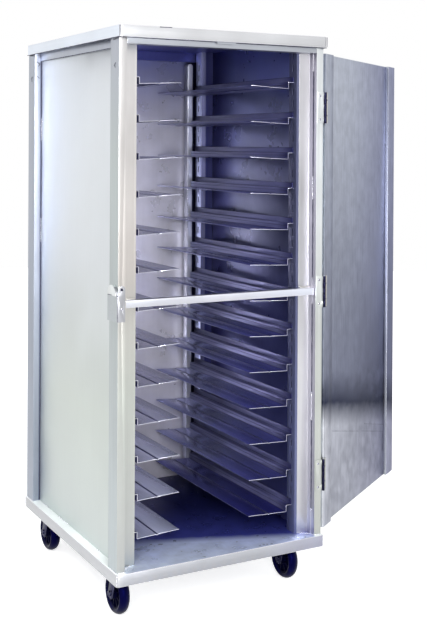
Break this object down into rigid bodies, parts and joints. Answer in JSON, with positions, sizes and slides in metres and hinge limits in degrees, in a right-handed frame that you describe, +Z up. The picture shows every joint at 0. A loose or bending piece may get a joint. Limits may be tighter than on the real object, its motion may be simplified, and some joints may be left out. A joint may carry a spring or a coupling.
{
  "type": "enclosed meal tray cart",
  "caption": "Tall aluminium tray cart on swivel casters: framed cabinet with stacked tray slides, a half-height bar and a hinged front door with a wrap-round claw latch.",
  "frame": {"origin": "on the floor, under the middle of the cabinet's plan between the outer faces of the posts", "axes": "+X to the right as seen from the front, +Y from the door opening to the back, +Z up"},
  "size_m": [1.328, 0.817, 1.778],
  "materials": {
    "sheet_aluminium": "satin mill finish sheet",
    "tube_aluminium": "satin extruded tube",
    "slide_aluminium": "satin folded sheet, bright cut edges",
    "zinc_steel": "bright zinc plated, lightly brushed",
    "latch_metal": "cast and tumbled, satin",
    "caster_tyre": "dark moulded wheel, satin"
  },
  "bodies": {
    "cabinet": {"base_pan": "sheet_aluminium", "base_channel_front": "sheet_aluminium", "base_channel_rear": "sheet_aluminium", "top_cap": "sheet_aluminium", "post_front_left": "tube_aluminium", "post_front_right": "tube_aluminium", "post_rear_left": "tube_aluminium", "post_rear_right": "tube_aluminium", "door_jamb_left": "sheet_aluminium", "door_jamb_right": "sheet_aluminium", "header_tube": "tube_aluminium", "rear_top_rail": "tube_aluminium", "side_rail_left": "sheet_aluminium", "side_rail_right": "sheet_aluminium", "side_panel_left": "sheet_aluminium", "side_panel_right": "sheet_aluminium", "back_panel": "sheet_aluminium", "mid_bar": "tube_aluminium", "mid_bar_brackets": "sheet_aluminium", "upright_front_left": "slide_aluminium", "upright_front_right": "slide_aluminium", "upright_rear_left": "slide_aluminium", "upright_rear_right": "slide_aluminium", "tray_stops": "slide_aluminium", "tray_slides_level_01": "slide_aluminium", "tray_slides_level_02": "slide_aluminium", "tray_slides_level_03": "slide_aluminium", "tray_slides_level_04": "slide_aluminium", "tray_slides_level_05": "slide_aluminium", "tray_slides_level_06": "slide_aluminium", "tray_slides_level_07": "slide_aluminium", "tray_slides_level_08": "slide_aluminium", "tray_slides_level_09": "slide_aluminium", "tray_slides_level_10": "slide_aluminium", "tray_slides_level_11": "slide_aluminium", "tray_slides_level_12": "slide_aluminium", "tray_slides_level_13": "slide_aluminium", "hinge_post_leaves": "zinc_steel", "hinge_pins": "zinc_steel", "latch_keeper": "latch_metal", "cabinet_screws": "zinc_steel", "caster_plates": "zinc_steel", "caster_bolts": "zinc_steel"},
    "door": {"door_skin": "sheet_aluminium", "door_inner_panel": "sheet_aluminium", "door_stile_hinge": "sheet_aluminium", "door_stile_latch": "sheet_aluminium", "hinge_door_leaves": "zinc_steel", "door_screws": "zinc_steel", "latch_base": "latch_metal", "latch_pin": "zinc_steel"},
    "claw": {"latch_claw": "latch_metal"},
    "fork_front_left": {"caster_fork_front_left": "zinc_steel"},
    "wheel_front_left": {"caster_wheel_front_left": "caster_tyre"},
    "fork_front_right": {"caster_fork_front_right": "zinc_steel"},
    "wheel_front_right": {"caster_wheel_front_right": "caster_tyre"},
    "fork_rear_left": {"caster_fork_rear_left": "zinc_steel"},
    "wheel_rear_left": {"caster_wheel_rear_left": "caster_tyre"},
    "fork_rear_right": {"caster_fork_rear_right": "zinc_steel"},
    "wheel_rear_right": {"caster_wheel_rear_right": "caster_tyre"}
  },
  "joints": [
    {"name": "door_hinge", "type": "hinge", "parent": "cabinet", "child": "door", "pos_m": [0.36575, -0.4016, 0.956], "axis": [0, 0, 1], "range_deg": [-214, 1]},
    {"name": "latch_pivot", "type": "hinge", "parent": "door", "child": "claw", "pos_m": [0.9331, 0.0198, 0.946], "axis": [0, 0, 1], "range_deg": [-180, 0]},
    {"name": "swivel_front_left", "type": "hinge", "parent": "cabinet", "child": "fork_front_left", "pos_m": [-0.30075, -0.304, 0.14], "axis": [0, 0, 1], "continuous": true},
    {"name": "roll_front_left", "type": "hinge", "parent": "fork_front_left", "child": "wheel_front_left", "pos_m": [-0.30075, -0.274, 0.0635], "axis": [1, 0, 0], "continuous": true},
    {"name": "swivel_front_right", "type": "hinge", "parent": "cabinet", "child": "fork_front_right", "pos_m": [0.30075, -0.304, 0.14], "axis": [0, 0, 1], "continuous": true},
    {"name": "roll_front_right", "type": "hinge", "parent": "fork_front_right", "child": "wheel_front_right", "pos_m": [0.30075, -0.274, 0.0635], "axis": [1, 0, 0], "continuous": true},
    {"name": "swivel_rear_left", "type": "hinge", "parent": "cabinet", "child": "fork_rear_left", "pos_m": [-0.30075, 0.286, 0.14], "axis": [0, 0, 1], "continuous": true},
    {"name": "roll_rear_left", "type": "hinge", "parent": "fork_rear_left", "child": "wheel_rear_left", "pos_m": [-0.30075, 0.316, 0.0635], "axis": [1, 0, 0], "continuous": true},
    {"name": "swivel_rear_right", "type": "hinge", "parent": "cabinet", "child": "fork_rear_right", "pos_m": [0.30075, 0.286, 0.14], "axis": [0, 0, 1], "continuous": true},
    {"name": "roll_rear_right", "type": "hinge", "parent": "fork_rear_right", "child": "wheel_rear_right", "pos_m": [0.30075, 0.316, 0.0635], "axis": [1, 0, 0], "continuous": true}
  ]
}
